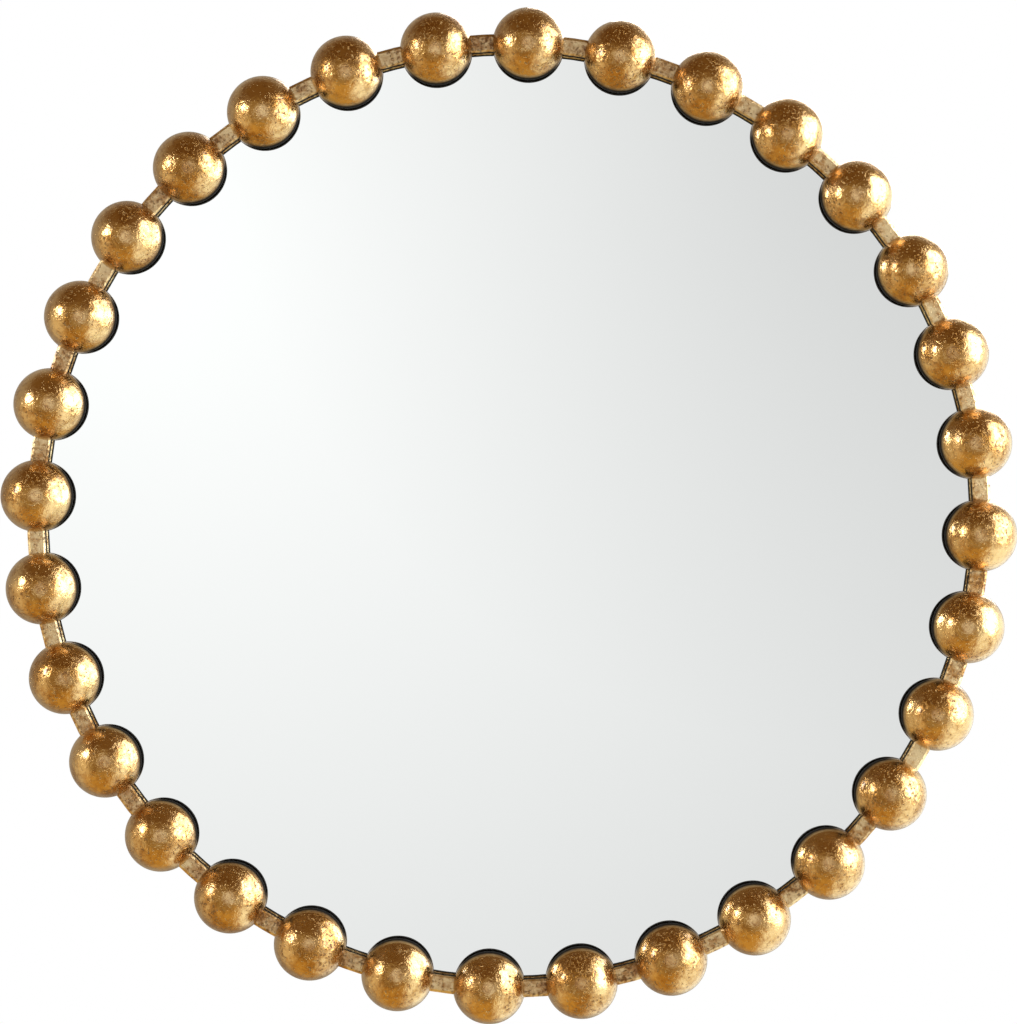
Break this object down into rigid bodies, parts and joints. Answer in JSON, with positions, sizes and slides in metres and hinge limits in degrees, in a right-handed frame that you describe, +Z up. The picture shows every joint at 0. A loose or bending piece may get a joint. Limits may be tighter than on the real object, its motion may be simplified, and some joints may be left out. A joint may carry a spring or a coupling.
{
  "type": "round wall mirror",
  "caption": "Round flat wall mirror in a ring of gilded balls threaded on a flat gilded hoop, hung by two hinged D-rings on its back board.",
  "frame": {"origin": "middle of the mirror on the surface of the wall that it hangs on", "axes": "+Z up, +Y into the wall, so the mirror faces -Y; +X to the right seen from the front"},
  "size_m": [0.9148, 0.0665, 0.9148],
  "materials": {
    "gilded_wood": "antique gold leaf over red clay",
    "gilded_steel": "antique gold leaf over red clay",
    "silvered_glass": "polished",
    "black_foam": "matte",
    "white_foam": "matte",
    "fibreboard": "raw fibreboard",
    "bare_steel": "satin black",
    "zinc_steel": "zinc plated",
    "black_rubber": "matte"
  },
  "bodies": {
    "mirror": {"bead_01": "gilded_wood", "bead_02": "gilded_wood", "bead_03": "gilded_wood", "bead_04": "gilded_wood", "bead_05": "gilded_wood", "bead_06": "gilded_wood", "bead_07": "gilded_wood", "bead_08": "gilded_wood", "bead_09": "gilded_wood", "bead_10": "gilded_wood", "bead_11": "gilded_wood", "bead_12": "gilded_wood", "bead_13": "gilded_wood", "bead_14": "gilded_wood", "bead_15": "gilded_wood", "bead_16": "gilded_wood", "bead_17": "gilded_wood", "bead_18": "gilded_wood", "bead_19": "gilded_wood", "bead_20": "gilded_wood", "bead_21": "gilded_wood", "bead_22": "gilded_wood", "bead_23": "gilded_wood", "bead_24": "gilded_wood", "bead_25": "gilded_wood", "bead_26": "gilded_wood", "bead_27": "gilded_wood", "bead_28": "gilded_wood", "bead_29": "gilded_wood", "bead_30": "gilded_wood", "bead_31": "gilded_wood", "bead_32": "gilded_wood", "hoop": "gilded_steel", "glazing_tape": "black_foam", "mirror_glass": "silvered_glass", "foam_sheet": "white_foam", "back_board": "fibreboard", "lug_1": "bare_steel", "lug_2": "bare_steel", "lug_3": "bare_steel", "lug_4": "bare_steel", "lug_5": "bare_steel", "lug_6": "bare_steel", "lug_7": "bare_steel", "lug_8": "bare_steel", "wall_bumper_1": "black_rubber", "wall_bumper_2": "black_rubber", "wall_bumper_3": "black_rubber", "wall_bumper_4": "black_rubber", "lug_screws": "zinc_steel", "bumper_screws": "zinc_steel", "strap_screws": "zinc_steel", "hanger_strap_left": "zinc_steel", "hanger_strap_right": "zinc_steel"},
    "left_ring": {"d_ring_left": "zinc_steel"},
    "right_ring": {"d_ring_right": "zinc_steel"}
  },
  "joints": [
    {"name": "left_ring_hinge", "type": "hinge", "parent": "mirror", "child": "left_ring", "pos_m": [-0.2, -0.00797, 0.215], "axis": [-1, 0, 0], "range_deg": [0, 178]},
    {"name": "right_ring_hinge", "type": "hinge", "parent": "mirror", "child": "right_ring", "pos_m": [0.2, -0.00797, 0.215], "axis": [-1, 0, 0], "range_deg": [0, 178]}
  ]
}
